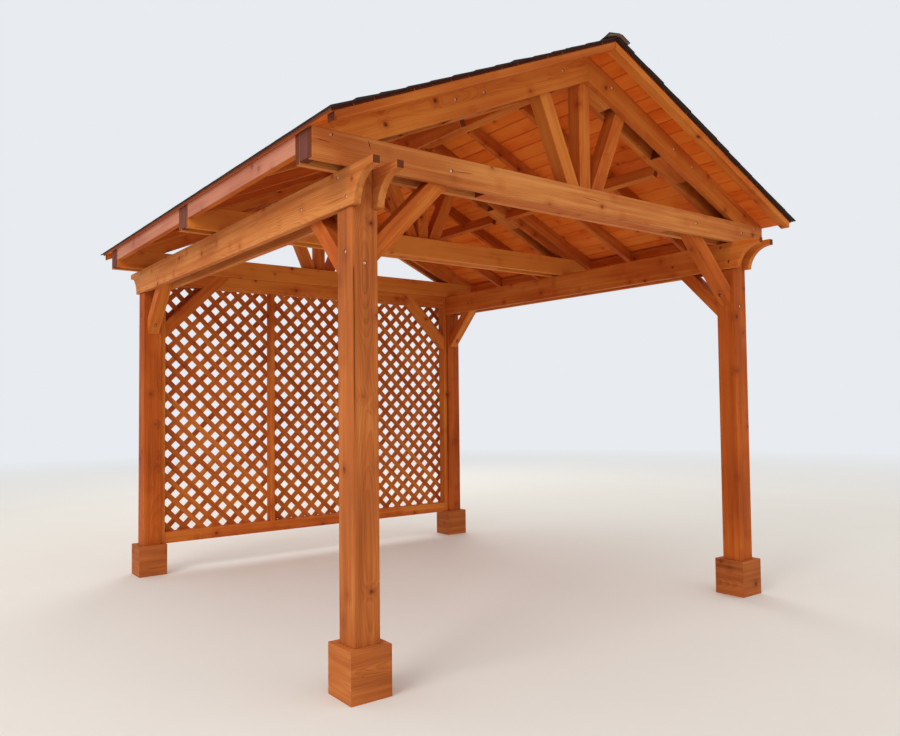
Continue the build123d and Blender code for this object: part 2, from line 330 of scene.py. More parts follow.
def shingle_granules(name):
    """Near-black mineral granules on asphalt shingles."""
    material, shader, g = new_material(name)
    place = g.attribute("grain", "Vector")
    granule = g.add("ShaderNodeSeparateColor")
    g.link(g.cells(place, GRANULES)["Color"], granule.inputs[0])
    speck = g.math("POWER", granule.outputs[0], SPECK_CONTRAST)
    cloud = g.noise(place, CLOUDS, detail=3.0, rough=0.6)
    shade = g.total(
        g.times(speck, SPECK_SHADE),
        g.range(cloud, LOW_NOISE, HIGH_NOISE, 0.0, CLOUD_SHADE),
        g.times(g.attribute("tone", "Fac"), TAB_SHADE),
    )
    colour = g.ramp(shade, tuple(zip(GRIT_STOPS, GRIT_TONES)))
    g.link(colour, shader.inputs["Base Color"])
    shader.inputs["Roughness"].default_value = GRIT_ROUGHNESS
    shader.inputs["Specular IOR Level"].default_value = GRIT_SPECULAR
    height = g.total(speck, g.times(g.noise(place, LUMPS), LUMP_RELIEF))
    g.link(g.bump(height, *GRIT_BUMP), shader.inputs["Normal"])
    return material


def shingle_back(name, light):
    """Brownish felt on the underside of a shingle, at a share of its full lightness; a small share
    is painted shade.
    """
    material, shader, g = new_material(name)
    felt = g.noise(g.attribute("grain", "Vector"), FELT_FIBRES, detail=3.0, rough=0.6)
    pale, dark = rgba(dimmed(FELT_PALE, light)), rgba(dimmed(FELT_DARK, light))
    g.link(g.mix(felt, pale, dark), shader.inputs["Base Color"])
    shader.inputs["Roughness"].default_value = FELT_ROUGHNESS
    return material


STAINS = 160.0
STAIN_LIMITS, STAIN_ROUGH_LIMITS = (0.4, 0.65), (0.35, 0.7)
STAIN_SHARE = 0.45
STEEL_METALLIC = 0.1
STEEL_ROUGHNESS = (0.42, 0.67)


def plated_steel(name, colour):
    """Yellowish zinc on steel, with darker and rougher stains."""
    material, shader, g = new_material(name)
    stain = g.noise(g.attribute("grain", "Vector"), STAINS, detail=3.0, rough=0.6)
    dirty = rgba(dimmed(colour, STAIN_SHARE))
    g.link(g.mix(g.range(stain, *STAIN_LIMITS), rgba(colour), dirty), shader.inputs["Base Color"])
    shader.inputs["Metallic"].default_value = STEEL_METALLIC
    rough = g.range(stain, *STAIN_ROUGH_LIMITS, *STEEL_ROUGHNESS)
    g.link(rough, shader.inputs["Roughness"])
    return material


def shows_backdrop(g):
    """1 for the rays that show the backdrop: camera, glossy and transmission rays."""
    rays = g.add("ShaderNodeLightPath").outputs
    shown = g.math("MAXIMUM", rays["Is Camera Ray"], rays["Is Glossy Ray"])
    return g.math("MAXIMUM", shown, rays["Is Transmission Ray"])


def mixed_shader(g, share, first, second, surface):
    """Feeds a surface with one shader, and with a share of another."""
    joined = g.add("ShaderNodeMixShader")
    for source, socket in zip((share, first.outputs[0], second.outputs[0]), joined.inputs):
        g.link(source, socket)
    g.link(joined.outputs[0], surface)


# Radii between which the floor fades into the backdrop, and its own faint clouds
FLOOR_FADE = (6.5, 17.0)
FLOOR_CLOUDS, FLOOR_LIGHTER = 1.2, 1.03
FLOOR_ROUGHNESS = 0.9


def plain_floor(name, colour, far):
    """Pale floor that runs out into the backdrop's colour."""
    material, shader, g = new_material(name)
    place = g.add("ShaderNodeTexCoord").outputs["Object"]
    light = tuple(min(1.0, level) for level in dimmed(colour, FLOOR_LIGHTER))
    clouds = g.mix(g.noise(place, FLOOR_CLOUDS), rgba(colour), rgba(light))
    g.link(clouds, shader.inputs["Base Color"])
    shader.inputs["Roughness"].default_value = FLOOR_ROUGHNESS
    glow = g.add("ShaderNodeEmission")
    glow.inputs["Color"].default_value = rgba(far)
    glow.inputs["Strength"].default_value = 1.0
    away = g.times(g.range(g.length(place), *FLOOR_FADE), shows_backdrop(g))
    mixed_shader(g, away, shader, glow, g.tree.nodes["Material Output"].inputs["Surface"])
    return material


# Each palette has a material for the faces of a board, for its ends and for its edges
BACKDROP = srgb(232, 235, 239)
WOOD_TONES = tones((218, 134, 56), (187, 90, 31), (122, 45, 13))
END_TONES = tones((150, 78, 40), (111, 53, 26), (64, 28, 16))
WOOD = [
    stained_wood("stained_timber", WOOD_TONES, busy=0.85),
    stained_wood("stained_end_grain", END_TONES, end=0.3, knot=0.3),
    stained_wood("stained_arris", WOOD_TONES, worn=0.07, knot=0.5),
]
# Painted sunlight: a paler, less red palette for the parts that stand in the sun, and for the foot
# trims
PAINTED_SUNLIT_TONES = tones((218, 145, 78), (189, 105, 49), (129, 59, 26))
PAINTED_SUNLIT = [
    stained_wood("painted_sunlit_timber", PAINTED_SUNLIT_TONES, busy=1.1),
    WOOD[1],
    stained_wood("painted_sunlit_arris", PAINTED_SUNLIT_TONES, worn=0.02, knot=0.5),
]
BLOCK_TONES = tones((124, 72, 63), (99, 53, 45), (68, 32, 27))
BLOCK = [
    stained_wood("purplish_block", BLOCK_TONES, knot=0.3),
    WOOD[1],
    stained_wood("purplish_arris", BLOCK_TONES),
]
# Deck boards: stained faces painted paler and more orange, for light bounced up onto the soffit;
# ends dark as end grain and as painted shade under the shingles' overhang; the eave edge is
# painted shade under that overhang
BOARDING_BOUNCE_LIT_TONES = tones((240, 138, 50), (220, 100, 28), (142, 50, 13))
BOARDING_END_AND_SHADE_TONES = tones((118, 50, 28), (86, 34, 18), (46, 19, 12))
BOARDING_EAVE_SHADE_TONES = tones((168, 92, 60), (140, 68, 42), (96, 42, 26))
BOARDING = [
    stained_wood("stained_boarding_bounce_lit", BOARDING_BOUNCE_LIT_TONES, busy=0.5),
    stained_wood("boarding_end_grain_and_shade", BOARDING_END_AND_SHADE_TONES, end=0.3, knot=0.3),
    stained_wood("boarding_edge", BOARDING_EAVE_SHADE_TONES, knot=0.3),
]
LATH_TONES = tones((212, 124, 50), (178, 86, 28), (116, 44, 13))
LATH_END_TONES = tones((150, 78, 40), (124, 56, 30), (64, 28, 16))
LATHS = [
    stained_wood("stained_laths", LATH_TONES, knot=0.25),
    stained_wood("lath_end_grain", LATH_END_TONES, end=0.3, knot=0.3),
    stained_wood("lath_arris", WOOD_TONES, worn=0.12, knot=0.3),
]
PINKISH_TONES = tones((204, 142, 114), (182, 113, 89), (124, 64, 48))
FASCIA = [WOOD[0], WOOD[1], stained_wood("pinkish_board", PINKISH_TONES, busy=0.7)]
SHADED_END_TONES = tones((150, 72, 34), (118, 50, 22), (74, 29, 14))
INNER = [
    WOOD[0],
    stained_wood("shaded_end_grain", SHADED_END_TONES, end=0.2, knot=0.3),
    WOOD[2],
]
# The shingles' backs are painted shade, at a small share of the felt's lightness; the cap's back
# has full lightness
GRIT = [shingle_granules("shingle_granules"), shingle_back("shingle_back", 0.13)]
CAP_GRIT = [GRIT[0], shingle_back("cap_back", 1.0)]
BOLT = [plated_steel("zinc_yellow", srgb(255, 218, 178))]


# Geometry. The places of the materials in a palette of wood and in one of shingles
FACE, END, EDGE = 0, 1, 2
TOP, BACK = 0, 1

# Radians between the faces of an edge that gets rounded
SHARP = 0.35

# Limits on the cosine between a face's normal and a direction
NEARLY_ALONG = 0.9
LOOKS_DOWN = -0.6

# Where a board may lie in its log: along it, and both ways from its pith
LOG_PLACES = ((-50, 50), (-0.16, 0.16), (0.03, 0.15))
ANY_TONE, TONE_SPREAD = (0.28, 0.72), 0.1

# A hole or crack: its mouth, the way in, its outline about the mouth and its depth
Cut = namedtuple("Cut", "mouth way outline depth")
CUT_OVERRUN = 0.015


def sides(normal):
    """Two unit vectors square to the given one and to each other."""
    flat = Vector((0, 0, 1)) if abs(normal.z) < NEARLY_ALONG else Vector((0, 1, 0))
    first = normal.cross(flat).normalized()
    return first, normal.cross(first).normalized()


def beside(edge, cut, before=0.001, around=0.0005):
    """True if an edge belongs to a hole or crack."""
    for vert in edge.verts:
        off = vert.co - cut.mouth
        if off.dot(cut.way) < -before:
            return False
        for over in sides(cut.way):
            if abs(off.dot(over)) > max(abs(p.dot(over)) for p in cut.outline) + around:
                return False
    return True


def round_edges(part, bevel, min_edge, cuts):
    """Rounds the sharp edges that are long enough and not a cut's."""
    sharp = [
        e for e in part.edges
        if e.is_manifold and e.calc_face_angle() > SHARP and e.calc_length() > min_edge
        and not any(beside(e, cut) for cut in cuts)
    ]
    made = bmesh.ops.bevel(
        part, geom=sharp, offset=bevel, segments=2, profile=0.5,
        affect="EDGES", clamp_overlap=True, material=-1,
    )
    for face in made["faces"]:
        face.material_index = EDGE


class Pieces:
    """Boards gathered into one mesh, each with its own grain and tone."""

    def __init__(self, name, materials, seed):
        self.name = name
        self.materials = materials
        self.random = random.Random(seed)
        self.bm = bmesh.new()
        self.grain = self.bm.verts.layers.float_vector.new("grain")
        self.tone = self.bm.verts.layers.float.new("tone")

    def choose_materials(self, part, axis, square, least, ripped):
        """Sets each face's material by the way that it looks."""
        for face in part.faces:
            if self.materials in (GRIT, CAP_GRIT):
                face.material_index = BACK if face.normal.z < LOOKS_DOWN else TOP
            elif self.materials is not BOLT:
                if abs(face.normal.dot(axis)) > square and face.calc_area() > least:
                    face.material_index = END
                # The fascia's outer face gets its real pink, the deck's eave edge gets painted
                # shade
                if ripped is not None and face.normal.dot(ripped) > NEARLY_ALONG:
                    face.material_index = EDGE

    def take(self, part, axis, bevel=0.0, tone=None, min_edge=0.012, square=0.8, least=0.0,
             ripped=None, cuts=()):
        """Adds a closed part.

        Its ends are the faces square to the axis with more than the least area. The face
        that looks along ripped, if any, has the material of the edges: the fascia's
        real pink outer face, or painted shade on the deck's eave edge.
        """
        rnd = self.random
        axis = axis.normalized()
        for face in part.faces:
            face.material_index = FACE
        if bevel:
            round_edges(part, bevel, min_edge, cuts)
        part.normal_update()
        self.choose_materials(part, axis, square, least, ripped)
        first, second = sides(axis)
        centre = sum((v.co for v in part.verts), Vector()) / len(part.verts)
        log = Vector([rnd.uniform(*limits) for limits in LOG_PLACES])
        if rnd.random() < 0.5:
            log.z = -log.z
        if tone is None:
            value = rnd.uniform(*ANY_TONE)
        else:
            value = tone + rnd.uniform(-TONE_SPREAD, TONE_SPREAD)
        copies = {}
        for vert in part.verts:
            copy = self.bm.verts.new(vert.co)
            off = vert.co - centre
            copy[self.grain] = Vector((off.dot(axis), off.dot(first), off.dot(second))) + log
            copy[self.tone] = value
            copies[vert] = copy
        for face in part.faces:
            copied = self.bm.faces.new([copies[v] for v in face.verts])
            copied.material_index = face.material_index
        part.free()

    def prism(self, outline, direction, axis, **options):
        """Adds an outline pushed along a direction."""
        far = [Vector(p) + Vector(direction) for p in outline]
        self.loft([outline, far], axis, **options)

    def loft(self, rings, axis, **options):
        """Adds a closed skin over rings of equally many points."""
        part = bmesh.new()
        loops = [[part.verts.new(p) for p in ring] for ring in rings]
        part.faces.new(list(reversed(loops[0])))
        part.faces.new(loops[-1])
        for one, two in zip(loops, loops[1:]):
            for i in range(len(one)):
                j = (i + 1) % len(one)
                part.faces.new((one[i], one[j], two[j], two[i]))
        if part.calc_volume(signed=True) < 0:
            bmesh.ops.reverse_faces(part, faces=list(part.faces))
        self.take(part, Vector(axis), **options)

    def finish(self, slot, *replaced):
        mesh = bpy.data.meshes.new(self.name)
        self.bm.to_mesh(mesh)
        self.bm.free()
        for material in self.materials:
            mesh.materials.append(material)
        piece = bpy.data.objects.new(self.name, mesh)
        scene.collection.objects.link(piece)
        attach(piece, "root")
        if replaced:
            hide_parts(*replaced)


def connected(vert):
    """All the vertices that edges join to this one."""
    group = {vert}
    stack = [vert]
    while stack:
        for edge in stack.pop().link_edges:
            for near in edge.verts:
                if near not in group:
                    group.add(near)
                    stack.append(near)
    return group


def solids_of(node):
    """The closed parts of a CAD node, with flat faces joined up."""
    whole = bmesh.new()
    whole.from_mesh(nodes[node].data)
    bmesh.ops.remove_doubles(whole, verts=list(whole.verts), dist=1e-5)
    left = set(whole.verts)
    parts = []
    while left:
        group = connected(next(iter(left)))
        left -= group
        part = bmesh.new()
        copies = {v: part.verts.new(v.co) for v in sorted(group, key=lambda v: v.index)}
        faces = {f for v in group for f in v.link_faces}
        for face in sorted(faces, key=lambda f: f.index):
            part.faces.new([copies[v] for v in face.verts])
        bmesh.ops.recalc_face_normals(part, faces=list(part.faces))
        bmesh.ops.dissolve_limit(
            part, angle_limit=0.01, verts=list(part.verts), edges=list(part.edges)
        )
        parts.append(part)
    whole.free()
    parts.sort(key=lambda p: tuple(round(c, 4) for c in sum((v.co for v in p.verts), Vector())))
    return parts


def long_axis(part):
    """The direction of a part's longest edge."""
    edge = max(part.edges, key=lambda e: e.calc_length())
    return (edge.verts[1].co - edge.verts[0].co).normalized()


def holds(part, cut, inwards=0.004):
    """True if a cut's mouth lies on this part's surface."""
    inside = cut.mouth + cut.way * inwards
    low = Vector([min(v.co[i] for v in part.verts) for i in range(3)])
    high = Vector([max(v.co[i] for v in part.verts) for i in range(3)])
    return all(low[i] < inside[i] < high[i] for i in range(3))


def bored(part, cuts):
    """Takes round holes and drying cracks out of a part."""
    cutter = bmesh.new()
    for cut in cuts:
        rings = [
            [cutter.verts.new(cut.mouth + off + cut.way * sink) for off in cut.outline]
            for sink in (-CUT_OVERRUN, cut.depth)
        ]
        cutter.faces.new(rings[0])
        cutter.faces.new(rings[1])
        for i in range(len(cut.outline)):
            j = (i + 1) % len(cut.outline)
            cutter.faces.new((rings[0][i], rings[0][j], rings[1][j], rings[1][i]))
    bmesh.ops.recalc_face_normals(cutter, faces=list(cutter.faces))
    made = []
    for build in (part, cutter):
        mesh = bpy.data.meshes.new("cut")
        build.to_mesh(mesh)
        build.free()
        item = bpy.data.objects.new("cut", mesh)
        scene.collection.objects.link(item)
        made.append(item)
    subtract = made[0].modifiers.new("cut", "BOOLEAN")
    subtract.object = made[1]
    subtract.solver = "EXACT"
    bpy.context.view_layer.update()
    result = made[0].evaluated_get(bpy.context.evaluated_depsgraph_get()).to_mesh()
    whole = bmesh.new()
    whole.from_mesh(result)
    for item in made:
        mesh = item.data
        bpy.data.objects.remove(item)
        bpy.data.meshes.remove(mesh)
    return whole


# Counterbores and cracks
tie_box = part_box("front_tie")
beam_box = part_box("eave_beam_right")
post_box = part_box("post_back_right")
TRUSS_FACE = -tie_box[0].y
MIDDLE_FACE = -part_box("middle_tie")[0].y
BEAM_OUTSIDE, BEAM_INSIDE = beam_box[1].x, beam_box[0].x
POST_OUTSIDE = post_box[1]
POST_MIDDLE = (post_box[0].x + post_box[1].x) / 2

BORE, BORE_DEPTH = 0.0105, 0.0055
BORE_CORNERS = 18
INSIDE_BORE, INSIDE_BORE_DEPTH = 0.0115, 0.02
BRACE_BORE, BRACE_BORE_DEPTH = 0.0135, 0.022
BRACE_BORE_UP = 0.095
# A crack's narrowing along its belly, on one side and the other
CRACK_TAPER = (0.8, 0.9)

# Mouths: distance from the middle of the gazebo and height
TIE_BORES = ((1.021, 2.527), (1.708, 2.577))
TIE_BORE_RIGHT = (1.546, 2.527)
CHORD_BORES = ((0.209, 3.250), (0.99, 2.902), (0.80, 2.986))
BEAM_BORES_OUTSIDE = ((1.634, 2.424), (1.714, 2.316), (1.243, 2.349))
BEAM_BORES_INSIDE = ((1.654, 2.429), (1.716, 2.319), (1.243, 2.349))
POST_BORE_SIDE = (1.679, 2.064)
POST_BORE_END = 2.008

BORES = {}
CRACKS = {}


def bore(node, mouth, way, radius=BORE, depth=BORE_DEPTH):
    """A round hole with its mouth on a node's face."""
    way = Vector(way)
    first, second = sides(way)
    turns = [2 * math.pi * i / BORE_CORNERS for i in range(BORE_CORNERS)]
    ring = [radius * (first * math.cos(a) + second * math.sin(a)) for a in turns]
    BORES.setdefault(node, []).append(Cut(Vector(mouth), way, ring, depth))


def crack(node, start, end, way, width=0.0042, depth=0.006, belly=(-0.2, 0.15)):
    """A drying crack, widest between the two shares of its length in belly."""
    start, end = Vector(start), Vector(end)
    run = end - start
    over = run.cross(Vector(way)).normalized() * width / 2
    ring = [run * -0.5, run * belly[0] + over, run * belly[1] + over * CRACK_TAPER[0],
            run * 0.5, run * belly[1] - over * CRACK_TAPER[1], run * belly[0] - over]
    CRACKS.setdefault(node, []).append(Cut((start + end) / 2, Vector(way), ring, depth))


def bore_brace(node, part):
    """Bores the under face of a brace level towards its post, near the foot."""
    part.normal_update()
    under = max((f for f in part.faces if f.normal.z < LOOKS_DOWN), key=lambda f: f.calc_area())
    way = Vector((-under.normal.x, -under.normal.y, 0)).normalized()
    foot = sorted(under.verts, key=lambda v: v.co.z)[:2]
    up = Vector((0, 0, 1)) - under.normal * under.normal.z
    mouth = (foot[0].co + foot[1].co) / 2 + up.normalized() * BRACE_BORE_UP
    bore(node, mouth, way, BRACE_BORE, BRACE_BORE_DEPTH)


for side, truss in ENDS:
    tie_mouths = [(hand * x, z) for hand, _ in SIDES for x, z in TIE_BORES]
    for x, z in tie_mouths + [TIE_BORE_RIGHT]:
        bore(f"{truss}_tie", (x, side * TRUSS_FACE, z), (0, -side, 0))
    for x, z in CHORD_BORES:
        for hand, name in SIDES:
            bore(f"{truss}_chord_{name}", (hand * x, side * TRUSS_FACE, z), (0, -side, 0))
for side, name in SIDES:
    for end, _ in ENDS:
        for y, z in BEAM_BORES_OUTSIDE:
            bore(f"eave_beam_{name}", (side * BEAM_OUTSIDE, end * y, z), (-side, 0, 0))
        for y, z in BEAM_BORES_INSIDE:
            bore(f"eave_beam_{name}", (side * BEAM_INSIDE, end * y, z), (side, 0, 0),
                 INSIDE_BORE, INSIDE_BORE_DEPTH)
    for end, corner in ENDS:
        post = f"post_{corner}_{name}"
        y, z = POST_BORE_SIDE
        bore(post, (side * POST_OUTSIDE.x, end * y, z), (-side, 0, 0))
        bore(post, (side * POST_MIDDLE, end * POST_OUTSIDE.y, POST_BORE_END), (0, -end, 0))

# Both ends of each crack in X and Z on the ties, or in Y and Z on the eave beams
TIE_CRACKS = (
    ("front_tie", -TRUSS_FACE, (-1.790, 2.542), (-1.706, 2.541)),
    ("front_tie", -TRUSS_FACE, (-1.008, 2.526), (-0.868, 2.537)),
    ("front_tie", -TRUSS_FACE, (-1.511, 2.590), (-1.497, 2.546)),
    ("front_tie", -TRUSS_FACE, (-0.070, 2.540), (0.095, 2.530)),
    ("middle_tie", -MIDDLE_FACE, (0.62, 2.551), (0.80, 2.545)),
    ("back_tie", TRUSS_FACE, (0.31, 2.52), (0.47, 2.526)),
)
for node, face, (x0, z0), (x1, z1) in TIE_CRACKS:
    crack(node, (x0, face, z0), (x1, face, z1), (0, math.copysign(1, -face), 0))
BEAM_CRACKS = (
    ("eave_beam_left", -BEAM_OUTSIDE, (-0.72, 2.39), (-0.55, 2.385)),
    ("eave_beam_right", BEAM_OUTSIDE, (0.42, 2.36), (0.60, 2.366)),
)
for node, face, (y0, z0), (y1, z1) in BEAM_CRACKS:
    crack(node, (face, y0, z0), (face, y1, z1), (math.copysign(1, -face), 0, 0))
# A long one runs down the front left post, close to its corner
POST_CRACK_TOP, POST_CRACK_FOOT = (-1.5845, 1.995), (-1.5840, 1.20)
crack("post_front_left", (POST_CRACK_TOP[0], -POST_OUTSIDE.y, POST_CRACK_TOP[1]),
      (POST_CRACK_FOOT[0], -POST_OUTSIDE.y, POST_CRACK_FOOT[1]), (0, 1, 0),
      width=0.0055, depth=0.012, belly=(-0.47, 0.25))

# Timbers
TIMBER_NODES = [
    "post_front_left", "post_front_right", "post_back_left", "post_back_right",
    "eave_beam_left", "eave_beam_right", "front_tie", "middle_tie", "back_tie",
    "tie_cores", "tie_end_blocks",
    "front_chord_left", "front_chord_right", "middle_chord_left", "middle_chord_right",
    "back_chord_left", "back_chord_right", "chord_spacers",
    "king_posts", "struts", "ridge_beam", "rafters_left", "rafters_right",
    "purlin_left", "purlin_right", "fascia_left", "fascia_right",
    "barge_boards_front", "barge_boards_back", "beam_braces", "tie_braces",
    "lattice_top_rail", "lattice_bottom_rail", "lattice_uprights",
]
PALETTES = {"tie_end_blocks": BLOCK, "fascia_left": FASCIA, "fascia_right": FASCIA}
for node in ("chord_spacers", "king_posts", "struts", "ridge_beam", "rafters_left",
             "rafters_right", "purlin_left", "purlin_right", "tie_cores", "tie_braces",
             "beam_braces"):
    PALETTES[node] = INNER
# Painted sunlight: these parts take the paler palette, as they stand in the sun
for node in ("front_tie", "eave_beam_left", "post_front_left"):
    PALETTES[node] = PAINTED_SUNLIT
# Set tones, from 0, pale, to 1, dark, which paint light and shade: paler on the lit
# middle and back ties, darker on the posts in shade; the other nodes draw a tone for each board
TONES = {
    "front_tie": 0.4, "eave_beam_left": 0.38, "middle_tie": 0.05, "back_tie": 0.1,
    "lattice_top_rail": 0.4, "post_front_left": 0.85, "post_front_right": 0.9,
    "post_back_right": 1.0, "post_back_left": 0.95,
}
ARRIS, POST_ARRIS = 0.003, 0.005


def timber(node, seed):
    """A node's boards, rounded, with their holes and cracks."""
    gathered = Pieces(node + "_timber", PALETTES.get(node, WOOD), seed)
    options = {"bevel": POST_ARRIS if node.startswith("post_") else ARRIS,
               "tone": TONES.get(node)}
    if "eave" in node:
        # Only the upright ends are end grain, and not the curve of the cove
        options.update(square=0.999, least=0.0006)
    if "fascia" in node:
        options["ripped"] = Vector((-1 if "left" in node else 1, 0, 0))
    for part in solids_of(node):
        axis = Vector((0, 0, 1)) if node == "tie_end_blocks" else long_axis(part)
        if "braces" in node:
            bore_brace(node, part)
        cuts = [cut for cut in BORES.get(node, []) + CRACKS.get(node, []) if holds(part, cut)]
        if cuts:
            part = bored(part, cuts)
        gathered.take(part, axis, cuts=cuts, **options)
    gathered.finish("timber", node)


for number, node in enumerate(TIMBER_NODES):
    timber(node, TIMBER_SEED + number)

# Foot trims: four mitred boards around the foot of each post
TRIM_CLEARANCE = 0.004
TRIM_MITRE = 0.0003
TRIM_ARRIS = 0.0022
# Painted shade: the trims take dark tones, the front left one less dark, as it stands in more
# light
TRIM_TONE, FRONT_LEFT_TRIM_TONE = 0.95, 0.75


def foot_trim(trims, low, high, outer, top):
    """Boards around a post with these corners, out to a distance from its middle."""
    middle = Vector(((low.x + high.x) / 2, (low.y + high.y) / 2, 0))
    inner = (high.x - low.x) / 2 + TRIM_CLEARANCE
    # Painted shade: a dark tone, less dark on the front left trim
    tone = FRONT_LEFT_TRIM_TONE if middle.x < 0 and middle.y < 0 else TRIM_TONE
    for quarter in range(4):
        turn = Matrix.Rotation(math.pi / 2 * quarter, 3, "Z")
        corners = [
            (-outer + TRIM_MITRE, -outer), (outer - TRIM_MITRE, -outer),
            (inner - TRIM_MITRE, -inner), (-inner + TRIM_MITRE, -inner),
        ]
        outline = [turn @ Vector((x, y, 0)) + middle for x, y in corners]
        trims.prism(outline, (0, 0, top), turn @ Vector((1, 0, 0)), bevel=TRIM_ARRIS, tone=tone)


posts = [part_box(f"post_{corner}_{name}") for _, corner in ENDS for _, name in SIDES]
trim_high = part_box("post_bases")[1]
half_post = (posts[0][1].x - posts[0][0].x) / 2
trim_reach = trim_high.x - max(high.x for _, high in posts) + half_post
# The trims take the painted sunlit palette, darkened by their tones of painted shade
foot_trims = Pieces("foot_trims", PAINTED_SUNLIT, TRIM_SEED)
for low, high in posts:
    foot_trim(foot_trims, low, high, trim_reach, trim_high.z)
foot_trims.finish("timber", "post_bases")

# Roof. DECK, SKIN and CAP are the heights of the tops of the deck, the shingles and
# the ridge cap over the deck's underside, square to the slope.
chord_low, chord_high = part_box("front_chord_right")
deck_low, deck_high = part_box("roof_deck_right")
sheet_low, sheet_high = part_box("shingles_right")
cap_low, cap_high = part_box("ridge_cap")
ridge_z = chord_high.z
slope = math.atan((chord_high.z - chord_low.z) / chord_high.x)
COS, SIN = math.cos(slope), math.sin(slope)
DECK = (deck_high.z - ridge_z) * COS
SKIN = (sheet_high.z - ridge_z) * COS
CAP = (cap_high.z - ridge_z) * COS


def on_roof(side, along, height):
    """Point at a distance down the slope and a height over the deck's underside."""
    x = side * (along * COS + height * SIN)
    return Vector((x, 0, ridge_z - along * SIN + height * COS))


def at_y(points, y):
    return [Vector((p.x, y, p.z)) for p in points]


def on_slope(side, profile, y):
    """Outline at y of a profile in distances down the slope and heights."""
    return at_y([on_roof(side, along, height) for along, height in profile], y)


# Deck boards: width of a face, half the gap between two, the groove along the gap,
# and how much they differ in height and in length
BOARD_FACE = 0.1165
BOARD_GAP = 0.0013
GROOVE = 0.0045
BOARD_RISE = 0.0015
BOARD_SHORT = (0.005, 0.007)
EAVE_ARRIS = 0.0005
RIDGE_GAP = 0.0003
RIDGE_BEVEL = 0.004
BOARD_TONE = 0.5


def deck_boards(side, name):
    boards = Pieces(f"deck_boards_{name}", BOARDING, DECK_SEED + side)
    rnd = boards.random
    eave = (deck_high.x - DECK * SIN) / COS
    count = round(eave / BOARD_FACE)
    step = eave / count
    for i in range(count):
        at_eave = i == count - 1
        start = i * step + BOARD_GAP
        end = eave if at_eave else (i + 1) * step - BOARD_GAP
        rise = rnd.uniform(0, BOARD_RISE)
        rim = EAVE_ARRIS if at_eave else GROOVE
        outline = [on_roof(side, along, height) for along, height in (
            (start, rise + GROOVE), (start + GROOVE, rise), (end - rim, rise),
            (end, rise + rim), (end, DECK), (start, DECK),
        )]
        if i == 0:
            # The first board is cut plumb at the ridge
            outline[0] = Vector((side * RIDGE_GAP, 0, ridge_z + (rise + GROOVE) / COS))
            outline[-1] = Vector((side * RIDGE_GAP, 0, ridge_z + DECK / COS))
            outline[1] = on_roof(side, RIDGE_BEVEL, rise)
        front = deck_low.y + rnd.uniform(*BOARD_SHORT)
        back = deck_high.y - rnd.uniform(*BOARD_SHORT)
        # The eave board's outer edge takes painted shade, where the shingles overhang it
        edge = Vector((side * COS, 0, -SIN)) if at_eave else None
        boards.prism(at_y(outline, front), (0, back - front, 0), (0, 1, 0),
                     tone=BOARD_TONE, ripped=edge)
    boards.finish("roof_boards", f"roof_deck_{name}")


# Shingles: a base layer in courses, with the teeth of a second layer on it. Heights
# are over the deck, at the butt of a course and at its top edge.
EXPOSED = 0.143
PAST_SHEET = 0.012
RAGGED = 0.006
BASE_FRONT, BASE_REAR = 0.0058, 0.0024
TOOTH_REAR = 0.0046
TOOTH_PROUD, EDGE_TOOTH_PROUD = 0.003, -0.0015
TOOTH_SINK = 0.0006
SHINGLE_LENGTH = 0.985
FIRST_SHINGLE = (0.25, 0.95)
SHINGLE_GAP = 0.0003
UNDERLAP = 0.006
OFF_DECK = 0.0002
TOOTH_START = (0.0, 0.12)
TOOTH_WIDTH, TOOTH_GAP = (0.09, 0.24), (0.05, 0.13)
LEAST_SHINGLE, LEAST_TOOTH = 0.001, 0.02
BUTT_SHORT, TOOTH_SHORT = 0.003, 0.002
TOP_FROM_RIDGE, TUCK_FROM_RIDGE = 0.002, 0.0015
SHINGLE_TONES, TOOTH_TONES = (0.25, 0.6), (0.3, 0.95)


def base_shingles(tabs, side, butt, top, rear, limits, short):
    """One course of the base layer, whose butts differ by up to short."""
    rnd = tabs.random
    y, last = limits
    length = rnd.uniform(*FIRST_SHINGLE)
    tuck = max(top - UNDERLAP, TUCK_FROM_RIDGE)
    while y < last - LEAST_SHINGLE:
        end = min(y + length, last)
        length = SHINGLE_LENGTH
        tone = rnd.uniform(*SHINGLE_TONES)
        low = butt - (rnd.uniform(0, short) if short else 0)
        profile = ((low, DECK + OFF_DECK), (low, DECK + BASE_FRONT), (tuck, rear),
                   (tuck, DECK + OFF_DECK))
        tabs.prism(on_slope(side, profile, y), (0, end - y - SHINGLE_GAP, 0), (0, 1, 0), tone=tone)
        y = end


def shingle_teeth(tabs, side, butt, top, front, rear, base_rear, limits):
    """The teeth of one course, of mixed widths, on its base layer."""
    rnd = tabs.random
    low_y, last = limits
    y = low_y + rnd.uniform(*TOOTH_START)
    while y < last:
        end = min(y + rnd.uniform(*TOOTH_WIDTH), last)
        low = butt - rnd.uniform(0, TOOTH_SHORT)
        profile = ((low, DECK + BASE_FRONT - TOOTH_SINK), (low, front), (top, rear),
                   (top, base_rear - TOOTH_SINK))
        if end - y > LEAST_TOOTH:
            tabs.prism(on_slope(side, profile, y), (0, end - y, 0), (0, 1, 0),
                       tone=rnd.uniform(*TOOTH_TONES))
        y = end + rnd.uniform(*TOOTH_GAP)


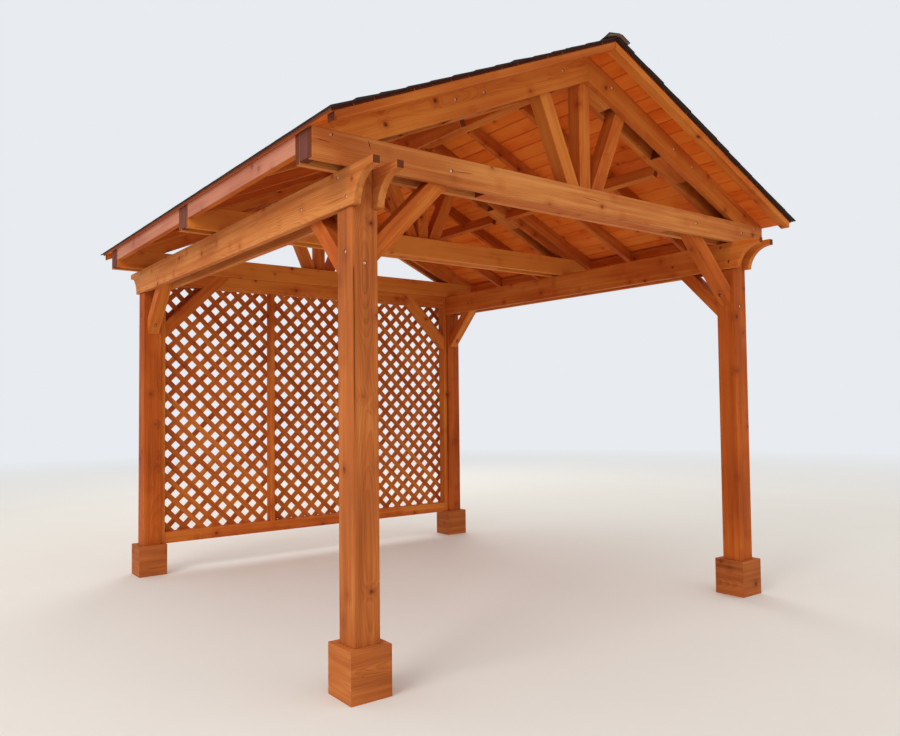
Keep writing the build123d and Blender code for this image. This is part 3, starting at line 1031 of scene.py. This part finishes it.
def shingle_tabs(side, name):
    tabs = Pieces(f"shingle_tabs_{name}", GRIT, SHINGLE_SEED + side)
    rnd = tabs.random
    eave = (sheet_high.x - SKIN * SIN) / COS
    courses = math.ceil(eave / EXPOSED)
    low_y, high_y = sheet_low.y - PAST_SHEET, sheet_high.y + PAST_SHEET
    for course in range(courses):
        butt = eave - course * EXPOSED
        top = max(butt - EXPOSED, TOP_FROM_RIDGE)
        part_way = (butt - top) / EXPOSED
        base_rear = DECK + BASE_FRONT + (BASE_REAR - BASE_FRONT) * part_way
        proud = TOOTH_PROUD if 0 < course < courses - 1 else EDGE_TOOTH_PROUD
        front = SKIN + proud
        rear = front + (DECK + TOOTH_REAR - front) * part_way
        start = low_y + (rnd.uniform(0, RAGGED) if course else 0)
        last = high_y - (rnd.uniform(0, RAGGED) if course else 0)
        base_shingles(tabs, side, butt, top, base_rear, (start, last),
                      BUTT_SHORT if course else 0)
        shingle_teeth(tabs, side, butt, top, front, rear, base_rear, (low_y, last))
    tabs.finish("shingles", f"shingles_{name}")


for side, name in SIDES:
    deck_boards(side, name)
for side, name in SIDES:
    shingle_tabs(side, name)

# Ridge cap: folded shingles that overlap towards the back. The lows are how far a
# piece's upper side lies below the cap's full height.
WING = (cap_high.x - CAP * SIN) / COS
WING_SHORT = 0.003
CAP_SKEW = 0.003
CAP_FOLD = 0.003
CAP_FOOT = SKIN + OFF_DECK
CAP_LAP = 0.006
CAP_LOW, CAP_BACK_LOW = (0, 0.0008), 0.0042
CAP_TONES, FRONT_CAP_TONE = (0.2, 0.8), 0.4
WING_SHIFT = 0.006
HIDDEN_SETBACK = 0.032
HIDDEN_LOW, HIDDEN_BACK_LOW = 0.0052, 0.0056
HIDDEN_WINGS = (0.078, 0.066)
HIDDEN_WING_SHORT = 0.004

# The front piece: for each ring its distance from the front, thickness, wings and the
# lift of the left one. It ends with full wings, a little over a step back.
FRONT_CAP = (
    (0.0, 0.0076, (0.0965, 0.0735), 0.022),
    (0.016, 0.0076, (0.0965, 0.0750), 0.017),
    (0.045, 0.0048, (0.0965, 0.078), 0.008),
    (0.085, 0.0048, (0.0965, 0.082), 0.0),
)
FRONT_CAP_STEPS, FRONT_CAP_BACK_THICK = 1.1, 0.0048


def cap_ring(y, height, foot, wings, lift=0.0):
    """Cross section of a folded shingle over the ridge, with its left wing lifted."""
    left, right = wings
    raised = Vector((WING_SHIFT, 0, lift))
    points = [
        on_roof(-1, left, foot) + raised,
        on_roof(-1, left, height) + raised,
        on_roof(-1, CAP_FOLD, height),
        on_roof(1, CAP_FOLD, height),
        on_roof(1, right, height),
        on_roof(1, right, foot),
        Vector((0, 0, ridge_z + foot / COS)),
    ]
    return at_y(points, y)


def ridge_cap():
    caps = Pieces("ridge_cap_pieces", CAP_GRIT, CAP_SEED)
    rnd = caps.random
    count = round((cap_high.y - cap_low.y) / EXPOSED)
    step = (cap_high.y - cap_low.y) / count
    full = WING - WING_SHORT
    for i in range(count):
        front = cap_low.y + i * step
        back = front + step
        skew = rnd.uniform(-CAP_SKEW, CAP_SKEW)
        if i == 0:
            # The first one is nearly hidden under the front piece
            wing = WING - HIDDEN_WING_SHORT
            rings = [
                cap_ring(front + HIDDEN_SETBACK, CAP - HIDDEN_LOW, CAP_FOOT, HIDDEN_WINGS),
                cap_ring(back, CAP - HIDDEN_BACK_LOW, CAP_FOOT, (wing, wing)),
            ]
        else:
            top = CAP - rnd.uniform(*CAP_LOW)
            wings = (full + skew, full - skew)
            back = min(back + CAP_LAP, cap_high.y)
            rings = [
                cap_ring(front, top, CAP_FOOT, wings),
                cap_ring(back, CAP - CAP_BACK_LOW, CAP_FOOT, wings),
            ]
        caps.loft(rings, (0, 1, 0), tone=rnd.uniform(*CAP_TONES))
    front_cap = (*FRONT_CAP, (step * FRONT_CAP_STEPS, FRONT_CAP_BACK_THICK, (full, full), 0.0))
    rings = [cap_ring(cap_low.y + y, CAP, CAP - thick, wings, lift)
             for y, thick, wings, lift in front_cap]
    caps.loft(rings, (0, 1, 0), tone=FRONT_CAP_TONE)
    caps.finish("shingles", "ridge_cap")


ridge_cap()

# Lattice: two layers of laths in each panel, clipped to it
LATH, LATH_PITCH = 0.042, 0.095
LATHS_EACH_WAY = 17
LATH_WOBBLE = 0.0008
LATH_ARRIS, LEAST_LATH_EDGE = 0.0011, 0.004
LEAST_LATH_AREA = 0.0016
SHIFTS = {"left": (-0.009, -0.044), "middle": (0.010, -0.035), "right": (0.004, 0.005)}
DIAGONAL = math.sqrt(0.5)


def clipped(strip, low, high):
    """Part of a flat strip of (x, z) points that lies inside a rectangle."""
    for axis, limit, keep in ((0, low[0], 1), (0, high[0], -1), (1, low[1], 1), (1, high[1], -1)):
        out = []
        for i, here in enumerate(strip):
            back = strip[i - 1]
            inside, was = keep * (here[axis] - limit) >= 0, keep * (back[axis] - limit) >= 0
            if inside != was:
                t = (limit - back[axis]) / (here[axis] - back[axis])
                out.append(tuple(back[k] + t * (here[k] - back[k]) for k in (0, 1)))
            if inside:
                out.append(here)
        strip = out
    return strip


def area(strip):
    return abs(sum(strip[i - 1][0] * p[1] - p[0] * strip[i - 1][1]
                   for i, p in enumerate(strip))) / 2


def laths(name, shift, seed):
    low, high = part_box(f"lattice_{name}")
    middle_y = (low.y + high.y) / 2
    centre = ((low.x + high.x) / 2 + shift[0], (low.z + high.z) / 2 + shift[1])
    reach = (high.x - low.x) + (high.z - low.z)
    sheet = Pieces(f"laths_{name}", LATHS, seed)
    for lean, front, back in ((1, low.y, middle_y), (-1, middle_y, high.y)):
        along = (-lean * DIAGONAL, DIAGONAL)
        over = (DIAGONAL, lean * DIAGONAL)
        for index in range(-LATHS_EACH_WAY, LATHS_EACH_WAY + 1):
            wobble = sheet.random.uniform(-LATH_WOBBLE, LATH_WOBBLE)
            strip = []
            for a, b in ((-1, -1), (-1, 1), (1, 1), (1, -1)):
                off = index * LATH_PITCH + b * LATH / 2 + wobble
                strip.append((centre[0] + a * reach * along[0] + off * over[0],
                              centre[1] + a * reach * along[1] + off * over[1]))
            strip = clipped(strip, (low.x, low.z), (high.x, high.z))
            if len(strip) > 2 and area(strip) >= LEAST_LATH_AREA:
                outline = [Vector((x, front, z)) for x, z in strip]
                sheet.prism(outline, (0, back - front, 0), (along[0], 0, along[1]),
                            bevel=LATH_ARRIS, min_edge=LEAST_LATH_EDGE)
    sheet.finish("lattice", f"lattice_{name}")


for number, (name, shift) in enumerate(SHIFTS.items()):
    laths(name, shift, LATH_SEED + number)

# Screw heads: radius and height over the counterbore's floor, out to in
HEAD_PROFILE = (
    (0.0078, 0.0), (0.0078, 0.0012), (0.0060, 0.0030), (0.0026, 0.0030), (0.0022, 0.0012),
)
HEAD_CORNERS = 12


def screw_heads():
    heads = Pieces("screw_heads", BOLT, HEAD_SEED)
    turns = [2 * math.pi * i / HEAD_CORNERS for i in range(HEAD_CORNERS)]
    for cuts in BORES.values():
        for cut in cuts:
            first, second = sides(cut.way)
            rings = [
                [cut.mouth + cut.way * (cut.depth - height)
                 + radius * (first * math.cos(a) + second * math.sin(a)) for a in turns]
                for radius, height in HEAD_PROFILE
            ]
            heads.loft(rings, cut.way)
    heads.finish("timber")


screw_heads()

# Camera, as solved from the photo's straight edges
CAMERA_PLACE = (-3.381, -4.874, 1.349)
YAW, PITCH, ROLL = 0.649, 0.040, -0.011
SENSOR, FOCAL_LENGTH = 36.0, 31.14
SHIFT_X, SHIFT_Y = -0.0049, 0.0043


def camera_turn():
    """Rotation of a camera that looks YAW right of +Y and PITCH up, rolled by ROLL."""
    level = math.cos(PITCH)
    forward = Vector((math.sin(YAW) * level, math.cos(YAW) * level, math.sin(PITCH)))
    right = Vector((math.cos(YAW), -math.sin(YAW), 0.0))
    up = right.cross(forward)
    right_rolled = math.cos(ROLL) * right + math.sin(ROLL) * up
    up_rolled = -math.sin(ROLL) * right + math.cos(ROLL) * up
    return Matrix((right_rolled, up_rolled, -forward)).transposed().to_4x4()


camera_data = bpy.data.cameras.new("camera")
camera_data.sensor_width = SENSOR
camera_data.lens = FOCAL_LENGTH
camera_data.shift_x = SHIFT_X
camera_data.shift_y = SHIFT_Y
camera = bpy.data.objects.new("camera", camera_data)
camera.matrix_world = Matrix.Translation(CAMERA_PLACE) @ camera_turn()
scene.collection.objects.link(camera)
scene.camera = camera

# Floor
FLOOR_COLOUR = srgb(228, 225, 219)
FLOOR_RADIUS, FLOOR_CORNERS = 60.0, 64
floor_mesh = bpy.data.meshes.new("floor")
floor_build = bmesh.new()
bmesh.ops.create_circle(floor_build, cap_ends=True, radius=FLOOR_RADIUS, segments=FLOOR_CORNERS)
floor_build.to_mesh(floor_mesh)
floor_build.free()
floor_mesh.materials.append(plain_floor("pale_floor", FLOOR_COLOUR, BACKDROP))
floor = bpy.data.objects.new("floor", floor_mesh)
scene.collection.objects.link(floor)

# Light: a soft sky that the camera sees as the backdrop, and three lamps
WHITE, WARM = (1.0, 1.0, 1.0), (1.0, 0.985, 0.96)
SKY_STRENGTH = 0.82
world = bpy.data.worlds.new("studio")
world.use_nodes = True
scene.world = world
sky = Graph(world.node_tree)
ambient = world.node_tree.nodes["Background"]
ambient.inputs["Color"].default_value = rgba(WARM)
ambient.inputs["Strength"].default_value = SKY_STRENGTH
seen = sky.add("ShaderNodeBackground")
seen.inputs["Color"].default_value = rgba(BACKDROP)
seen.inputs["Strength"].default_value = 1.0
sky_output = world.node_tree.nodes["World Output"].inputs["Surface"]
mixed_shader(sky, shows_backdrop(sky), ambient, seen, sky_output)


def area_light(name, place, aim, size, power, colour=WHITE, spread=180.0):
    """Square lamp that looks at a point; spread is in degrees."""
    data = bpy.data.lights.new(name, "AREA")
    data.size = size
    data.energy = power
    data.color = colour
    data.spread = math.radians(spread)
    lamp = bpy.data.objects.new(name, data)
    scene.collection.objects.link(lamp)
    way = (Vector(aim) - Vector(place)).normalized()
    turn = way.to_track_quat("-Z", "Y").to_matrix().to_4x4()
    lamp.matrix_world = Matrix.Translation(place) @ turn


# The key's narrower spread keeps the floor under it from clipping
area_light("key", place=(-8.5, -3.2, 7.5), aim=(0, 0, 1.6), size=4.5, power=243.0,
           colour=WARM, spread=140.0)
area_light("front", place=(2.5, -10.0, 4.5), aim=(0, 0, 1.6), size=6.0, power=50.0)
area_light("back", place=(5.0, 8.5, 7.0), aim=(0, 0, 1.8), size=5.0, power=240.0, colour=WARM)

scene.view_settings.view_transform = "Standard"
